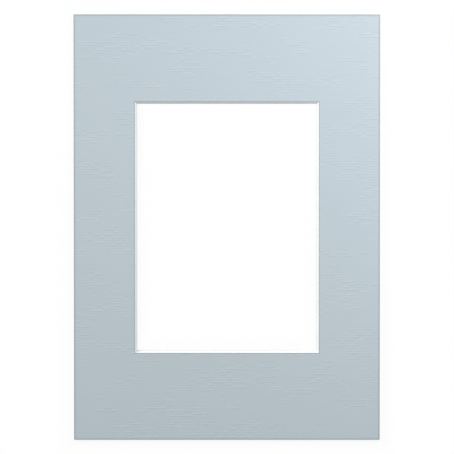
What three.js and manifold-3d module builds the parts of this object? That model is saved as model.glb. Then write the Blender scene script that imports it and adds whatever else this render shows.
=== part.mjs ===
// Picture mount: one sheet of white-cored mount board with a coloured paper face
// and a window cut through it at a slant, so that the white core shows all round the picture.
// Millimetres. The board lies on its back: X runs across it, Y runs up it and Z runs through it to the face.
// The origin is the middle of the board, at its back.
import * as THREE from 'three';
import * as BufferGeometryUtils from 'three/addons/utils/BufferGeometryUtils.js';
import Module from 'manifold-3d';

const wasm = await Module();
wasm.setup();

// The board's outside
const boardWidth = 210;
const boardLength = 297;

// The two sheets that are glued together, face to face
const coreThickness = 1.5;
const facingThickness = 0.2;

// The window at its narrowest, which is on the back, and the slant of its cut, measured from the back
const windowWidth = 123;
const windowLength = 172;
const bevelAngle = 45;

const boardThickness = coreThickness + facingThickness;
const spreadPerHeight = 1 / Math.tan(THREE.MathUtils.degToRad(bevelAngle));

const facingMaterial = new THREE.MeshStandardMaterial({
  color: '#bfcad2',
  roughness: 0.85,
  metalness: 0,
  flatShading: true,
});

const coreMaterial = new THREE.MeshStandardMaterial({
  color: '#f7f7f4',
  roughness: 0.9,
  metalness: 0,
  flatShading: true,
});

// A geometry as a solid that can be cut, with its corners merged.
function solidFrom(geometry) {
  const bare = geometry.clone();
  bare.deleteAttribute('normal');
  bare.deleteAttribute('uv');
  const merged = BufferGeometryUtils.mergeVertices(bare);
  return new wasm.Manifold(new wasm.Mesh({
    numProp: 3,
    vertProperties: new Float32Array(merged.attributes.position.array),
    triVerts: new Uint32Array(merged.index.array),
  }));
}

// A solid as a geometry that a mesh can hold.
function geometryFrom(solid) {
  const mesh = solid.getMesh();
  const geometry = new THREE.BufferGeometry();
  geometry.setAttribute('position', new THREE.BufferAttribute(mesh.vertProperties, 3));
  geometry.setIndex(new THREE.BufferAttribute(mesh.triVerts, 1));
  geometry.computeVertexNormals();
  return geometry;
}

// A slot along Y with slanted walls: `width` wide at the back and wider towards the face.
// It stands out of both faces of the board by the board's own thickness.
function slantedSlot(width, length) {
  const halfWidthAt = (height) => width / 2 + height * spreadPerHeight;
  const low = -boardThickness;
  const high = 2 * boardThickness;
  const section = new THREE.Shape([
    new THREE.Vector2(-halfWidthAt(low), low),
    new THREE.Vector2(halfWidthAt(low), low),
    new THREE.Vector2(halfWidthAt(high), high),
    new THREE.Vector2(-halfWidthAt(high), high),
  ]);
  const slot = new THREE.ExtrudeGeometry(section, { depth: length, bevelEnabled: false });
  slot.translate(0, 0, -length / 2);
  slot.rotateX(Math.PI / 2);
  return slot;
}

// The window: where the slot up the board and the slot across it cross, with mitred corners.
const slotUp = slantedSlot(windowWidth, boardLength);
const slotAcross = slantedSlot(windowLength, boardWidth).rotateZ(Math.PI / 2);
const windowCut = solidFrom(slotUp).intersect(solidFrom(slotAcross));

// A sheet of the board between two heights, with the window through it.
function sheet(name, bottom, thickness, material) {
  const blank = new THREE.BoxGeometry(boardWidth, boardLength, thickness);
  blank.translate(0, 0, bottom + thickness / 2);
  const mesh = new THREE.Mesh(geometryFrom(solidFrom(blank).subtract(windowCut)), material);
  mesh.name = name;
  return mesh;
}

const pictureMount = new THREE.Group();
pictureMount.add(sheet('core_board', 0, coreThickness, coreMaterial));
pictureMount.add(sheet('facing_paper', coreThickness, facingThickness, facingMaterial));

export default pictureMount;
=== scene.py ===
# A picture mount lying on its back on a pale floor: white-cored mount board with a blue-grey linen face.
# Metres. X runs across the board, Y runs up it and Z runs through it to the face.
import math

import bmesh
import bpy
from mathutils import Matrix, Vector


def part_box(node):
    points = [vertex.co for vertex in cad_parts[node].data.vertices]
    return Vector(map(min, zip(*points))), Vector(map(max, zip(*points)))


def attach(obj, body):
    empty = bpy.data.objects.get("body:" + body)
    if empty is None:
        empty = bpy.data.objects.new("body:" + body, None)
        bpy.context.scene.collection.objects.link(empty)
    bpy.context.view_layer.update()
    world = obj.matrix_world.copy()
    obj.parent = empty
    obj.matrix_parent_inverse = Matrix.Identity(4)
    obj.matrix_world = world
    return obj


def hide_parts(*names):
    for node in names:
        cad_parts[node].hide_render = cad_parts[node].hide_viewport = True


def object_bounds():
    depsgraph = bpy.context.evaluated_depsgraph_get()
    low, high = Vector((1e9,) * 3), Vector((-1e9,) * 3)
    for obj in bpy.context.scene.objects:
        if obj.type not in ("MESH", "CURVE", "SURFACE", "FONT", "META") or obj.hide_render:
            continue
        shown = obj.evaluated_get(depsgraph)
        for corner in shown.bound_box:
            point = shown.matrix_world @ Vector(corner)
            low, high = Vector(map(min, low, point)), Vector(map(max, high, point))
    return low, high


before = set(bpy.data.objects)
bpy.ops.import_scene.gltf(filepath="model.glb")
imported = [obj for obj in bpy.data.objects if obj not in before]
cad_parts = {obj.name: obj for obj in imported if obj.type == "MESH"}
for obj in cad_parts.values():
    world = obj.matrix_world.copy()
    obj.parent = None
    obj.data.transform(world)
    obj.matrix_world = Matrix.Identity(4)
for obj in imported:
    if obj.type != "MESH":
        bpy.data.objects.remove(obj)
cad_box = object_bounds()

# The view. The mount is seen almost square on and from far off, so that its edges stay parallel.
# The photograph shows it a little shorter than it is, so the eye is tipped towards its top edge.
# FRAME_PX is the photograph's width in pixels, and the two after it are the board's sizes in it.
FRAME_PX = 454
BOARD_WIDTH_PX = 306.2
BOARD_LENGTH_PX = 425.5
LENS_MM = 1600
SENSOR_MM = 36
AIM_OFF_CENTRE = Vector((0.0001, 0.0004, 0))

board_size = cad_box[1] - cad_box[0]
aim = Vector((0, 0, cad_box[1].z)) + AIM_OFF_CENTRE
foreshortening = (BOARD_LENGTH_PX / BOARD_WIDTH_PX) / (board_size.y / board_size.x)
tilt = math.acos(foreshortening)
view_width = board_size.x * FRAME_PX / BOARD_WIDTH_PX
view_distance = view_width * LENS_MM / SENSOR_MM

camera = bpy.data.objects.new("camera", bpy.data.cameras.new("camera"))
bpy.context.collection.objects.link(camera)
camera.data.lens = LENS_MM
camera.data.sensor_width = SENSOR_MM
camera.data.clip_start = view_distance / 10
camera.data.clip_end = view_distance * 2
camera.location = aim + view_distance * Vector((0, math.sin(tilt), math.cos(tilt)))
camera.rotation_euler = (-tilt, 0, 0)
bpy.context.scene.camera = camera
bpy.context.scene.view_settings.view_transform = "Standard"

# The core board: white pulp board, nearly all of the thickness, with a smooth paper on its back, coloured
# grey to paint the shade at the foot of its cut edges.
# It is glued to the face paper and trimmed square. The window is cut at a slant, which shows the pulp
# as a thin white line round the picture, and the knife runs a little past each corner.
CORE_ARRIS = 0.00008
ARRIS_STEPS = 3
LEVEL_SLACK = 0.00001


def window_at(node, height):
    """Half the window's width and half its length, at one height of a sheet."""
    level = [v.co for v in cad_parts[node].data.vertices if abs(v.co.z - height) < LEVEL_SLACK]
    return min(abs(co.x) for co in level), min(abs(co.y) for co in level)


def rounded(corner, radius, rising):
    """Rings round a sheet's outer arris at a corner of its box, up to its face or down to its back."""
    rings = []
    for step in range(ARRIS_STEPS + 1):
        turn = math.pi / 2 * step / ARRIS_STEPS
        inset = radius * (1 - math.cos(turn))
        drop = radius * (1 - math.sin(turn))
        height = corner.z - drop if rising else corner.z + drop
        rings.append((corner.x - inset, corner.y - inset, height))
    return rings if rising else rings[::-1]


def mitred_sheet(name, rings):
    """A closed sheet with a window. Each ring is a rectangle: its half width, half length and height."""
    corners = ((1, 1), (-1, 1), (-1, -1), (1, -1))
    points = [(x * width, y * length, height) for width, length, height in rings for x, y in corners]
    faces = []
    for ring in range(len(rings)):
        after = (ring + 1) % len(rings)
        for corner in range(4):
            turned = (corner + 1) % 4
            faces.append((ring * 4 + corner, ring * 4 + turned, after * 4 + turned, after * 4 + corner))
    mesh = bpy.data.meshes.new(name)
    mesh.from_pydata(points, [], faces)
    shape = bmesh.new()
    shape.from_mesh(mesh)
    bmesh.ops.recalc_face_normals(shape, faces=shape.faces)
    shape.to_mesh(mesh)
    shape.free()
    sheet = bpy.data.objects.new(name, mesh)
    bpy.context.collection.objects.link(sheet)
    return sheet


def wire(tree, socket, value):
    """Feeds a socket from another one, or sets it to a plain value."""
    if isinstance(value, bpy.types.NodeSocket):
        tree.links.new(value, socket)
    else:
        socket.default_value = value


def add(tree, kind, inputs, output=0, **settings):
    """Adds a node with its settings and inputs, and gives one of its outputs."""
    node = tree.nodes.new(kind)
    for name, value in settings.items():
        setattr(node, name, value)
    for key, value in inputs.items():
        wire(tree, node.inputs[key], value)
    return node.outputs[output]


def calc(tree, operation, *values):
    """Adds a Math node."""
    return add(tree, "ShaderNodeMath", dict(enumerate(values)), operation=operation)


def vector_calc(tree, operation, *values):
    """Adds a Vector Math node."""
    return add(tree, "ShaderNodeVectorMath", dict(enumerate(values)), operation=operation)


def ramp(tree, value, start, end, low=0.0, high=1.0):
    """Turns a value smoothly from low at start to high at end."""
    inputs = {"Value": value, "From Min": start, "From Max": end, "To Min": low, "To Max": high}
    return add(tree, "ShaderNodeMapRange", inputs, interpolation_type="SMOOTHSTEP")


def group(kind, name, inputs, outputs):
    """An empty node group with named sockets of the given types."""
    tree = bpy.data.node_groups.new(name, kind)
    for in_out, sockets in (("INPUT", inputs), ("OUTPUT", outputs)):
        for socket, value_type in sockets.items():
            tree.interface.new_socket(socket, in_out=in_out, socket_type="NodeSocket" + value_type)
    return tree, tree.nodes.new("NodeGroupInput").outputs, tree.nodes.new("NodeGroupOutput").inputs


def apply_nodes(sheet, tree, values):
    """Runs a geometry node tree on a sheet, and keeps the result as the sheet's plain mesh."""
    step = sheet.modifiers.new(tree.name, "NODES")
    step.node_group = tree
    for socket in tree.interface.items_tree:
        if socket.name in values:
            step[socket.identifier] = values[socket.name]
    depsgraph = bpy.context.evaluated_depsgraph_get()
    made = bpy.data.meshes.new_from_object(sheet.evaluated_get(depsgraph), depsgraph=depsgraph)
    sheet.modifiers.clear()
    made.name = sheet.name
    made.materials.clear()
    made.materials.append(values["Finish"])
    sheet.data = made


def blend_vector(tree, factor, first, second):
    """Mixes two vectors."""
    ends = {"Factor": factor, 4: first, 5: second}
    return add(tree, "ShaderNodeMix", ends, output=1, data_type="VECTOR")


def end_tree(tree, shape, given, result):
    """Ends a geometry tree with the shape as plain mesh in the finish that it was given."""
    shape = add(tree, "GeometryNodeRealizeInstances", {"Geometry": shape})
    shape = add(tree, "GeometryNodeSetMaterial", {"Geometry": shape, "Material": given["Finish"]})
    wire(tree, result["Sheet"], shape)


# The overcuts: at each corner of the window, two slits where the slanted knife ran past the other cut.
# The wedge that cuts a slit stands as far above the face as it reaches below, and narrows to a point,
# so the slit in the face is half as long and half as wide as the reach and the width given here.
OVERCUT_REACH = 0.002
OVERCUT_SPREAD = 0.4
OVERCUT_DEPTH = 0.0009
OVERCUT_WIDTH = 0.00022
OVERCUT_SEED = 3

overcuts, given, result = group("GeometryNodeTree", "window_overcuts", {
    "Sheet": "Geometry", "Window Width": "Float", "Window Length": "Float", "Face Height": "Float",
    "Reach": "Float", "Spread": "Float", "Depth": "Float", "Width": "Float", "Seed": "Int",
    "Finish": "Material",
}, {"Sheet": "Geometry"})
points = add(overcuts, "GeometryNodeMeshGrid", {
    "Size X": given["Window Width"], "Size Y": given["Window Length"], "Vertices X": 2, "Vertices Y": 2,
})
to_face = add(overcuts, "ShaderNodeCombineXYZ", {"Z": given["Face Height"]})
points = add(overcuts, "GeometryNodeSetPosition", {"Geometry": points, "Offset": to_face})
points = add(overcuts, "GeometryNodeMeshToPoints", {"Mesh": points})
points = add(overcuts, "GeometryNodeDuplicateElements", {"Geometry": points, "Amount": 2}, domain="POINT")
second = points.node.outputs["Duplicate Index"]
corner_side = vector_calc(overcuts, "SIGN", add(overcuts, "GeometryNodeInputPosition", {}))
runs = blend_vector(overcuts, second, (1, 0, 0), (0, 1, 0))
leans = blend_vector(overcuts, second, (0, 1, 0), (1, 0, 0))
along = vector_calc(overcuts, "MULTIPLY", corner_side, runs)
slant = vector_calc(overcuts, "ADD", vector_calc(overcuts, "MULTIPLY", corner_side, leans), (0, 0, 1))
turned = add(overcuts, "FunctionNodeAxesToRotation", {"Primary Axis": slant, "Secondary Axis": along})
shortest = calc(overcuts, "SUBTRACT", 1.0, given["Spread"])
uneven = add(overcuts, "FunctionNodeRandomValue", {2: shortest, 3: 1.0, "Seed": given["Seed"]}, output=1)
wedge_size = add(overcuts, "ShaderNodeCombineXYZ", {
    "X": calc(overcuts, "MULTIPLY", given["Reach"], uneven),
    "Y": calc(overcuts, "DIVIDE", given["Width"], 2.0),
    "Z": given["Depth"],
})
wedge = add(overcuts, "GeometryNodeMeshCone", {
    "Vertices": 4, "Radius Top": 1.0, "Radius Bottom": 0.0, "Depth": 2.0,
})
wedge = add(overcuts, "GeometryNodeSetPosition", {"Geometry": wedge, "Offset": (0, 0, -1)})
wedges = add(overcuts, "GeometryNodeInstanceOnPoints", {
    "Points": points, "Instance": wedge, "Rotation": turned, "Scale": wedge_size,
})
wedges = add(overcuts, "GeometryNodeRealizeInstances", {"Geometry": wedges})
slit = add(
    overcuts, "GeometryNodeMeshBoolean", {0: given["Sheet"], 1: wedges},
    operation="DIFFERENCE", solver="MANIFOLD",
)
end_tree(overcuts, slit, given, result)

# Paper and pulp: short fibres felted together, and slow clouds where the sheet is thicker or thinner
paper, given, result = group(
    "ShaderNodeTree", "paper",
    {"Place": "Vector", "Fibre": "Float", "Cloud": "Float"}, {"Tooth": "Float", "Clouds": "Float"},
)
for output, size, detail in (("Tooth", "Fibre", 3.0), ("Clouds", "Cloud", 2.0)):
    scale = calc(paper, "DIVIDE", 1.0, given[size])
    noise = add(paper, "ShaderNodeTexNoise", {"Vector": given["Place"], "Scale": scale, "Detail": detail})
    wire(paper, result[output], noise)


def use(tree, name, output, inputs):
    """Places a shader node group in a material."""
    node = tree.nodes.new("ShaderNodeGroup")
    node.node_tree = bpy.data.node_groups[name]
    for key, value in inputs.items():
        wire(tree, node.inputs[key], value)
    return node.outputs[output]


def blend_colour(tree, factor, first, second):
    """Mixes two colours."""
    ends = {"Factor": factor, 6: first, 7: second}
    return add(tree, "ShaderNodeMix", ends, output=2, data_type="RGBA")


def material(name, specular):
    """A new material, its tree, its shader's inputs and the place on the object that it reads."""
    made = bpy.data.materials.new(name)
    made.use_nodes = True
    tree = made.node_tree
    shader = tree.nodes["Principled BSDF"]
    shader.inputs["Specular IOR Level"].default_value = specular
    return made, tree, shader.inputs, add(tree, "ShaderNodeTexCoord", {}, output="Object")


PULP_WHITE = (0.89, 0.895, 0.89, 1)
PULP_GREY = (0.80, 0.81, 0.81, 1)
# Painted shade: the back paper is coloured darker than the pulp, which paints the shade at the foot of the
# board's cut edges.
BACK_PAPER_SHADED = (0.65, 0.66, 0.66, 1)
BACK_PAPER_THICKNESS = 0.00028
BACK_PAPER_SEAM = 0.000056
PLY_THICKNESS = 0.0005
PLY_LINE_BLUR = 0.12
PLY_LINE_GREY = 0.35
PLY_LINE_DIP = 0.6
CLOUD_GREY = 0.4
PULP_FIBRE = 0.00025
PULP_CLOUD = 0.012
PULP_RELIEF = 0.00002
TOOTH_LOW = 0.3
TOOTH_HIGH = 0.7
PULP_SMOOTHEST = 0.82
PULP_ROUGHEST = 0.95

pulp, tree, shader, place = material("pulp", specular=0.3)
height = add(tree, "ShaderNodeSeparateXYZ", {"Vector": place}, output="Z")
felted = {"Place": place, "Fibre": PULP_FIBRE, "Cloud": PULP_CLOUD}
tooth = use(tree, "paper", "Tooth", felted)
clouds = use(tree, "paper", "Clouds", felted)
through_ply = calc(tree, "FRACT", calc(tree, "DIVIDE", height, PLY_THICKNESS))
off_middle = calc(tree, "ABSOLUTE", calc(tree, "SUBTRACT", through_ply, 0.5))
ply_line = ramp(tree, off_middle, 0.5 - PLY_LINE_BLUR, 0.5)
shade = calc(tree, "MULTIPLY_ADD", ply_line, PLY_LINE_GREY, calc(tree, "MULTIPLY", clouds, CLOUD_GREY))
pulp_colour = blend_colour(tree, shade, PULP_WHITE, PULP_GREY)
# Painted shade: the bottom of the board, where the back paper lies, turns grey.
back_paper_shade = ramp(tree, height, BACK_PAPER_THICKNESS, BACK_PAPER_THICKNESS - BACK_PAPER_SEAM)
wire(tree, shader["Base Color"], blend_colour(tree, back_paper_shade, pulp_colour, BACK_PAPER_SHADED))
wire(tree, shader["Roughness"], ramp(tree, tooth, TOOTH_LOW, TOOTH_HIGH, PULP_SMOOTHEST, PULP_ROUGHEST))
relief = calc(tree, "SUBTRACT", tooth, calc(tree, "MULTIPLY", ply_line, PLY_LINE_DIP))
wire(tree, shader["Normal"], add(tree, "ShaderNodeBump", {"Height": relief, "Distance": PULP_RELIEF}))

core_low, core_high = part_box("core_board")
face_low, face_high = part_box("facing_paper")
window_face = window_at("facing_paper", face_high.z)
core_back = Vector((core_high.x, core_high.y, core_low.z))
core = mitred_sheet("core", [
    *rounded(core_back, CORE_ARRIS, rising=False),
    tuple(core_high),
    (*window_at("core_board", core_high.z), core_high.z),
    (*window_at("core_board", core_low.z), core_low.z),
])
knife = {
    "Window Width": 2 * window_face[0],
    "Window Length": 2 * window_face[1],
    "Face Height": face_high.z,
    "Reach": OVERCUT_REACH,
    "Spread": OVERCUT_SPREAD,
    "Depth": OVERCUT_DEPTH,
    "Width": OVERCUT_WIDTH,
    "Seed": OVERCUT_SEED,
}
apply_nodes(core, overcuts, {**knife, "Finish": pulp})
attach(core, "root")
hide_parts("core_board")

# The face paper: blue-grey paper, dyed through, with a linen weave pressed into it, and glued to the core.
# The guillotine turns its outer edge down a little, and the knife leaves its edge round the window sharp.
FACE_ARRIS = 0.00012

facing = mitred_sheet("facing", [
    (face_high.x, face_high.y, face_low.z),
    *rounded(face_high, FACE_ARRIS, rising=True),
    (*window_face, face_high.z),
    (*window_at("facing_paper", face_low.z), face_low.z),
])

# The linen emboss: a plain weave whose weft runs across the board, with thicker threads here and there.
# The swells are shares of the emboss's depth, and a crown with all four is as high as the face.
# Slubs and patches start at one level of their noise and are full at another.
WEFT_PITCH = 0.00184
WARP_PITCH = 0.0021
EMBOSS_DEPTH = 0.00007
THREAD_SWELL = 0.02
OVER_SWELL = 0.02
SLUB_LENGTH = 0.006
SLUB_STARTS = 0.46
SLUB_FULL = 0.52
SLUB_SWELL = 0.03
THREADS_APART = 7.31
PATCH_SIZE = 0.024
PATCH_SQUASH = 2.5
PATCH_STARTS = 0.51
PATCH_FULL = 0.58
PATCH_SWELL = 0.22
MOST_SWELL = THREAD_SWELL + OVER_SWELL + SLUB_SWELL + PATCH_SWELL
WAVER_SIZE = 0.08
WAVER = 0.0006
WEAVE_SEED = 11.0

emboss, given, result = group("GeometryNodeTree", "linen_emboss", {
    "Sheet": "Geometry", "Width": "Float", "Length": "Float", "Face Height": "Float",
    "Weft Pitch": "Float", "Warp Pitch": "Float", "Depth": "Float", "Slub Length": "Float",
    "Patch Size": "Float", "Waver Size": "Float", "Waver": "Float", "Seed": "Float",
    "Finish": "Material",
}, {"Sheet": "Geometry"})
half_weft = calc(emboss, "DIVIDE", given["Weft Pitch"], 2.0)
half_warp = calc(emboss, "DIVIDE", given["Warp Pitch"], 2.0)


def even_steps(length, pitch):
    """An even number of half pitches that reaches past a length at both ends."""
    whole = calc(emboss, "CEIL", calc(emboss, "DIVIDE", length, pitch))
    return calc(emboss, "MULTIPLY", calc(emboss, "ADD", whole, 2.0), 2.0)


columns = even_steps(given["Width"], given["Warp Pitch"])
rows = even_steps(given["Length"], given["Weft Pitch"])
plate_size = add(emboss, "ShaderNodeCombineXYZ", {
    "X": calc(emboss, "MULTIPLY", columns, half_warp),
    "Y": calc(emboss, "MULTIPLY", rows, half_weft),
    "Z": given["Face Height"],
})
plate = add(emboss, "GeometryNodeMeshCube", {
    "Size": plate_size,
    "Vertices X": calc(emboss, "ADD", columns, 1.0),
    "Vertices Y": calc(emboss, "ADD", rows, 1.0),
    "Vertices Z": 2,
})
spot = add(emboss, "GeometryNodeInputPosition", {})
split = add(emboss, "ShaderNodeSeparateXYZ", {"Vector": spot}).node.outputs
column = calc(emboss, "ROUND", calc(emboss, "DIVIDE", split["X"], half_warp))
row = calc(emboss, "ROUND", calc(emboss, "DIVIDE", split["Y"], half_weft))
thread = calc(emboss, "FLOOR", calc(emboss, "DIVIDE", row, 2.0))
on_thread = calc(emboss, "FLOORED_MODULO", row, 2.0)
over = calc(emboss, "FLOORED_MODULO", calc(emboss, "ADD", column, thread), 2.0)
slub_spot = add(emboss, "ShaderNodeCombineXYZ", {
    "X": calc(emboss, "DIVIDE", split["X"], given["Slub Length"]),
    "Y": calc(emboss, "MULTIPLY_ADD", thread, THREADS_APART, given["Seed"]),
})
slub_noise = add(
    emboss, "ShaderNodeTexNoise", {"Vector": slub_spot, "Scale": 1.0, "Detail": 1.0},
    noise_dimensions="2D",
)
slub = ramp(emboss, slub_noise, SLUB_STARTS, SLUB_FULL)
patch_noise = add(emboss, "ShaderNodeTexNoise", {
    "Vector": vector_calc(emboss, "MULTIPLY", spot, (1, PATCH_SQUASH, 0)),
    "W": given["Seed"],
    "Scale": calc(emboss, "DIVIDE", 1.0, given["Patch Size"]),
    "Detail": 1.0,
}, noise_dimensions="4D")
patch = ramp(emboss, patch_noise, PATCH_STARTS, PATCH_FULL)
slub_swell = calc(emboss, "MULTIPLY_ADD", patch, PATCH_SWELL, SLUB_SWELL)
plain_swell = calc(emboss, "MULTIPLY_ADD", over, OVER_SWELL, THREAD_SWELL)
swell = calc(emboss, "MULTIPLY_ADD", slub, slub_swell, plain_swell)
above_or_below = calc(emboss, "MULTIPLY_ADD", on_thread, 2.0, -1.0)
raised = calc(emboss, "MULTIPLY_ADD", above_or_below, swell, 1.0 - MOST_SWELL)
sunk = calc(emboss, "MULTIPLY", calc(emboss, "SUBTRACT", 1.0, raised), given["Depth"])
sunk = calc(emboss, "MULTIPLY", sunk, calc(emboss, "GREATER_THAN", split["Z"], 0.0))
waver_scale = calc(emboss, "DIVIDE", 1.0, given["Waver Size"])
drift = add(emboss, "ShaderNodeTexNoise", {"Vector": spot, "Scale": waver_scale, "Detail": 1.0})
half_height = calc(emboss, "DIVIDE", given["Face Height"], 2.0)
shift = add(emboss, "ShaderNodeCombineXYZ", {
    "Y": calc(emboss, "MULTIPLY", calc(emboss, "SUBTRACT", drift, 0.5), given["Waver"]),
    "Z": calc(emboss, "SUBTRACT", half_height, sunk),
})
plate = add(emboss, "GeometryNodeSetPosition", {"Geometry": plate, "Offset": shift})
pressed = add(emboss, "GeometryNodeMeshBoolean", {1: plate}, operation="INTERSECT", solver="MANIFOLD")
wire(emboss, pressed.node.inputs[1], given["Sheet"])
end_tree(emboss, pressed, given, result)

# How far a place lies outside a rectangle round the middle of the board, and less than nothing inside it
margin, given, result = group(
    "ShaderNodeTree", "margin",
    {"Place": "Vector", "Half Width": "Float", "Half Length": "Float"}, {"Out": "Float"},
)
sides = add(margin, "ShaderNodeSeparateXYZ", {"Vector": given["Place"]}).node.outputs
out_x = calc(margin, "SUBTRACT", calc(margin, "ABSOLUTE", sides["X"]), given["Half Width"])
out_y = calc(margin, "SUBTRACT", calc(margin, "ABSOLUTE", sides["Y"]), given["Half Length"])
wire(margin, result["Out"], calc(margin, "MAXIMUM", out_x, out_y))
board_edge = {"Half Width": face_high.x, "Half Length": face_high.y}
window_edge = {"Half Width": window_face[0], "Half Length": window_face[1]}

# Painted shade and light: the face's colour runs from a shaded tone in the emboss's grooves to a lit tone
# on its crowns.
FACE_GROOVE_SHADED = (0.508, 0.571, 0.612, 1)
FACE_CROWN_LIT = (0.575, 0.640, 0.685, 1)
# Painted shade: the tone that the face darkens to in a band along its outer edge and round the window, and
# how far that band reaches.
FACE_EDGE_SHADE = (0.36, 0.41, 0.44, 1)
FACE_CUT = (0.60, 0.66, 0.70, 1)
CUT_BLUR = 0.00003
EDGE_SHADE_REACH = 0.0018
WINDOW_EDGE_SHADE_REACH = 0.0009
EDGE_SHADE_STRENGTH = 0.8
GROOVE_ROUGHNESS = 0.92
CROWN_ROUGHNESS = 0.80
FACE_FIBRE = 0.0003
FACE_CLOUD = 0.035
CLOUD_DEPTH = 0.25
YARN = 0.00046
YARN_RELIEF = 0.000008
YARN_UP_SHARE = 0.6
TOOTH_SHARE = 1.5

linen, tree, shader, place = material("linen_paper", specular=0.3)
split = add(tree, "ShaderNodeSeparateXYZ", {"Vector": place}).node.outputs
lowest_groove = face_high.z - 2 * MOST_SWELL * EMBOSS_DEPTH
raised = ramp(tree, split["Z"], lowest_groove, face_high.z)
felted = {"Place": place, "Fibre": FACE_FIBRE, "Cloud": FACE_CLOUD}
tooth = use(tree, "paper", "Tooth", felted)
clouds = use(tree, "paper", "Clouds", felted)
outside = use(tree, "margin", "Out", {"Place": place, **board_edge})
inside = use(tree, "margin", "Out", {"Place": place, **window_edge})
# Painted shade: the face darkens in a band along its outer edge and round the window's edge.
outer_edge_shade = ramp(tree, outside, -EDGE_SHADE_REACH, 0.0)
edge_shade = calc(tree, "MAXIMUM", outer_edge_shade, ramp(tree, inside, WINDOW_EDGE_SHADE_REACH, 0.0))
# Painted shade and light: the base colour is darker in the emboss's grooves and lighter on its crowns, and
# the paper's clouds vary it at random.
clouded = calc(tree, "MULTIPLY_ADD", calc(tree, "SUBTRACT", clouds, 0.5), CLOUD_DEPTH, raised)
face_colour = blend_colour(tree, clouded, FACE_GROOVE_SHADED, FACE_CROWN_LIT)
darkening = calc(tree, "MULTIPLY", edge_shade, EDGE_SHADE_STRENGTH)
face_colour = blend_colour(tree, darkening, face_colour, FACE_EDGE_SHADE)
below_emboss = face_high.z - EMBOSS_DEPTH
cut = ramp(tree, split["Z"], below_emboss, below_emboss - CUT_BLUR)
wire(tree, shader["Base Color"], blend_colour(tree, cut, face_colour, FACE_CUT))
wire(tree, shader["Roughness"], ramp(tree, raised, 0.0, 1.0, GROOVE_ROUGHNESS, CROWN_ROUGHNESS))
yarn_across = calc(tree, "SINE", calc(tree, "MULTIPLY", split["Y"], 2 * math.pi / YARN))
yarn_up = calc(tree, "SINE", calc(tree, "MULTIPLY", split["X"], 2 * math.pi / YARN))
yarns = calc(tree, "MULTIPLY_ADD", yarn_up, YARN_UP_SHARE, yarn_across)
relief = calc(tree, "MULTIPLY_ADD", tooth, TOOTH_SHARE, yarns)
wire(tree, shader["Normal"], add(tree, "ShaderNodeBump", {"Height": relief, "Distance": YARN_RELIEF}))

apply_nodes(facing, emboss, {
    "Width": board_size.x,
    "Length": board_size.y,
    "Face Height": face_high.z,
    "Weft Pitch": WEFT_PITCH,
    "Warp Pitch": WARP_PITCH,
    "Depth": EMBOSS_DEPTH,
    "Slub Length": SLUB_LENGTH,
    "Patch Size": PATCH_SIZE,
    "Waver Size": WAVER_SIZE,
    "Waver": WAVER,
    "Seed": WEAVE_SEED,
    "Finish": linen,
})
apply_nodes(facing, overcuts, {**knife, "Finish": linen})
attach(facing, "root")
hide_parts("facing_paper")

# The floor: plain and pale. Close to the board and in its window it keeps the board's shadow,
# and to the eye it fades to pure white away from it.
FLOOR_HALF = 4.0
FLOOR_DROP = 0.0001
FLOOR_PALE = (0.9, 0.9, 0.9, 1)
FADE_REACH = 0.015
WHITE_NEAR = 0.91

floor_mesh = bpy.data.meshes.new("floor")
floor_corners = ((-1, -1), (1, -1), (1, 1), (-1, 1))
floor_points = [(x * FLOOR_HALF, y * FLOOR_HALF, -FLOOR_DROP) for x, y in floor_corners]
floor_mesh.from_pydata(floor_points, [], [(0, 1, 2, 3)])
floor = bpy.data.objects.new("floor", floor_mesh)
bpy.context.collection.objects.link(floor)


def seen_plainly(tree):
    """One for the camera's rays, straight or by way of gloss or glass, and nothing for all others."""
    rays = tree.nodes.new("ShaderNodeLightPath").outputs
    bent = calc(tree, "MAXIMUM", rays["Is Glossy Ray"], rays["Is Transmission Ray"])
    return calc(tree, "MAXIMUM", rays["Is Camera Ray"], bent)


pale = bpy.data.materials.new("pale_floor")
pale.use_nodes = True
tree = pale.node_tree
tree.nodes.remove(tree.nodes["Principled BSDF"])
place = add(tree, "ShaderNodeTexCoord", {}, output="Object")
outside = use(tree, "margin", "Out", {"Place": place, **board_edge})
inside = use(tree, "margin", "Out", {"Place": place, **window_edge})
clear_of_board = calc(tree, "MAXIMUM", outside, calc(tree, "MULTIPLY", inside, -1.0))
fade = ramp(tree, clear_of_board, 0.0, FADE_REACH, WHITE_NEAR, 1.0)
whiteness = calc(tree, "MULTIPLY", seen_plainly(tree), fade)
lit = add(tree, "ShaderNodeBsdfDiffuse", {"Color": FLOOR_PALE})
white = add(tree, "ShaderNodeEmission", {"Color": (1, 1, 1, 1), "Strength": 1.0})
mixed = add(tree, "ShaderNodeMixShader", {0: whiteness, 1: lit, 2: white})
wire(tree, tree.nodes["Material Output"].inputs["Surface"], mixed)
floor_mesh.materials.append(pale)

# The light: a soft key from the upper left, a soft lamp near the top right corner, and an even room.
# Together they fall off towards the bottom of the board, as the photograph shows.
ROOM_LEVEL = 0.35
ROOM_TINT = (0.94, 1.0, 1.03, 1)
LAMP_SIZE = 0.4


def softbox(name, spot, power):
    """A square soft lamp that faces the middle of the board, and isn't itself seen."""
    lamp = bpy.data.objects.new(name, bpy.data.lights.new(name, "AREA"))
    bpy.context.collection.objects.link(lamp)
    lamp.data.size = LAMP_SIZE
    lamp.data.energy = power
    lamp.location = spot
    lamp.rotation_euler = (-Vector(spot)).to_track_quat("-Z", "Y").to_euler()
    lamp.visible_camera = False


softbox("key", spot=(-1.38, 0.48, 0.42), power=18.9)
softbox("top_light", spot=(0.4, 0.34, 0.4), power=3.0)

world = bpy.data.worlds.new("studio")
bpy.context.scene.world = world
world.use_nodes = True
tree = world.node_tree
plainly = seen_plainly(tree)
background = tree.nodes["Background"].inputs
wire(tree, background["Color"], blend_colour(tree, plainly, ROOM_TINT, (1, 1, 1, 1)))
wire(tree, background["Strength"], ramp(tree, plainly, 0.0, 1.0, ROOM_LEVEL, 1.0))
